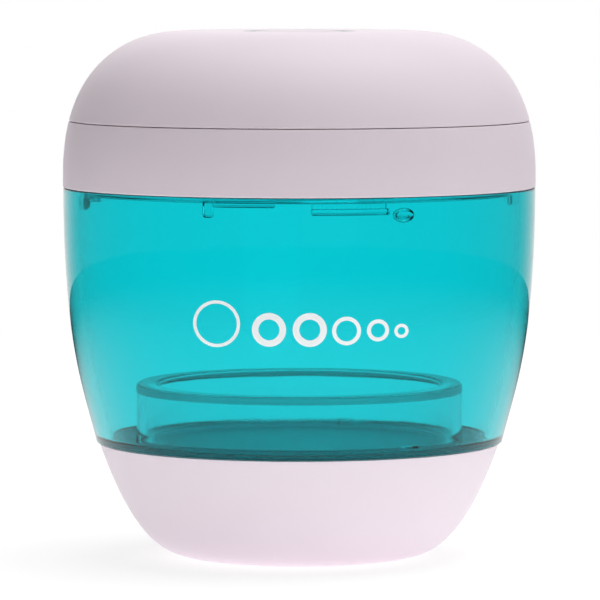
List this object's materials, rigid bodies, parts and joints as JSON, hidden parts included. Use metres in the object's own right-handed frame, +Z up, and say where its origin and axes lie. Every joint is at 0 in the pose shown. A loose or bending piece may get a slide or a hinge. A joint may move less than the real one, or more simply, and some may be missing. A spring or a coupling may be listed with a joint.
{
  "type": "pacifier sterilizer case",
  "caption": "Barrel-shaped clear teal cup on a white bowl base, under a white twist-lock lid that holds an ultraviolet lamp, battery, power button and charging port.",
  "frame": {"origin": "middle of the foot pad's underside, on the surface that the case stands on", "axes": "+Z up along the case's axis, -Y the front face, +Y the back with the charging port, +X to the right seen from the front"},
  "size_m": [0.075, 0.075, 0.0835],
  "materials": {
    "white_plastic": "satin white ABS with a faint pink cast",
    "teal_plastic": "clear teal polycarbonate, polished",
    "clear_plastic": "clear polycarbonate",
    "silicone": "matt light grey silicone",
    "screw_steel": "zinc-plated steel",
    "socket_steel": "drawn steel shell",
    "mirror_aluminium": "polished spun aluminium",
    "quartz": "fused quartz",
    "board_aluminium": "aluminium board under white solder mask",
    "led_ceramic": "ceramic diode package with a quartz lid",
    "tray_plastic": "moulded natural ABS",
    "battery_pouch": "lithium cell in a shrink sleeve",
    "foam": "self-adhesive foam",
    "circuit_board": "green glass-epoxy board",
    "chip_resin": "moulded black resin",
    "ferrite": "pressed ferrite",
    "magnet_nickel": "nickel-plated magnet",
    "wire_red": "PVC-insulated wire",
    "wire_black": "PVC-insulated wire",
    "flex_film": "amber polyimide film"
  },
  "bodies": {
    "root": {"base_shell": "white_plastic", "foot_pad": "silicone", "base_screw_1": "screw_steel", "base_screw_2": "screw_steel", "base_screw_3": "screw_steel", "chamber_cup": "teal_plastic", "stand_ring": "clear_plastic", "sensor_magnet": "magnet_nickel"},
    "seal": {"lid_seal": "silicone"},
    "lid": {"lid_ring": "white_plastic", "lid_cap": "white_plastic", "lid_screw_1": "screw_steel", "lid_screw_2": "screw_steel", "lid_screw_3": "screw_steel", "lid_screw_4": "screw_steel", "reflector_dish": "mirror_aluminium", "quartz_window": "quartz", "window_seal": "silicone", "led_board": "board_aluminium", "led_board_screw_1": "screw_steel", "led_board_screw_2": "screw_steel", "uv_led_1": "led_ceramic", "uv_led_2": "led_ceramic", "uv_led_3": "led_ceramic", "uv_led_4": "led_ceramic", "battery_cradle": "tray_plastic", "battery_cell": "battery_pouch", "battery_pad": "foam", "main_board": "circuit_board", "charge_chip": "chip_resin", "control_chip": "chip_resin", "boost_inductor": "ferrite", "power_switch": "chip_resin", "status_led_1": "clear_plastic", "status_led_2": "clear_plastic", "status_led_3": "clear_plastic", "board_screw_1": "screw_steel", "board_screw_2": "screw_steel", "board_screw_3": "screw_steel", "usb_socket": "socket_steel", "plug_anchor": "silicone", "indicator_ring": "clear_plastic", "led_lead_red": "wire_red", "led_lead_black": "wire_black", "battery_lead_red": "wire_red", "battery_lead_black": "wire_black", "sensor_flex": "flex_film", "hall_sensor": "chip_resin"},
    "button": {"power_button": "white_plastic"},
    "plug": {"port_plug": "silicone"}
  },
  "joints": [
    {"name": "lid_lift", "type": "slide", "parent": "root", "child": "seal", "axis": [0, 0, 1], "range_m": [0, 0.06]},
    {"name": "lid_turn", "type": "hinge", "parent": "seal", "child": "lid", "pos_m": [0, 0, 0.0588], "axis": [0, 0, -1], "range_deg": [0, 24.5]},
    {"name": "button_press", "type": "slide", "parent": "lid", "child": "button", "axis": [0, 0, -1], "range_m": [0, 0.0006], "stiffness_N_per_m": 800},
    {"name": "plug_hinge", "type": "hinge", "parent": "lid", "child": "plug", "pos_m": [0, 0.03567, 0.072], "axis": [-1, 0, 0], "range_deg": [0, 110]}
  ]
}
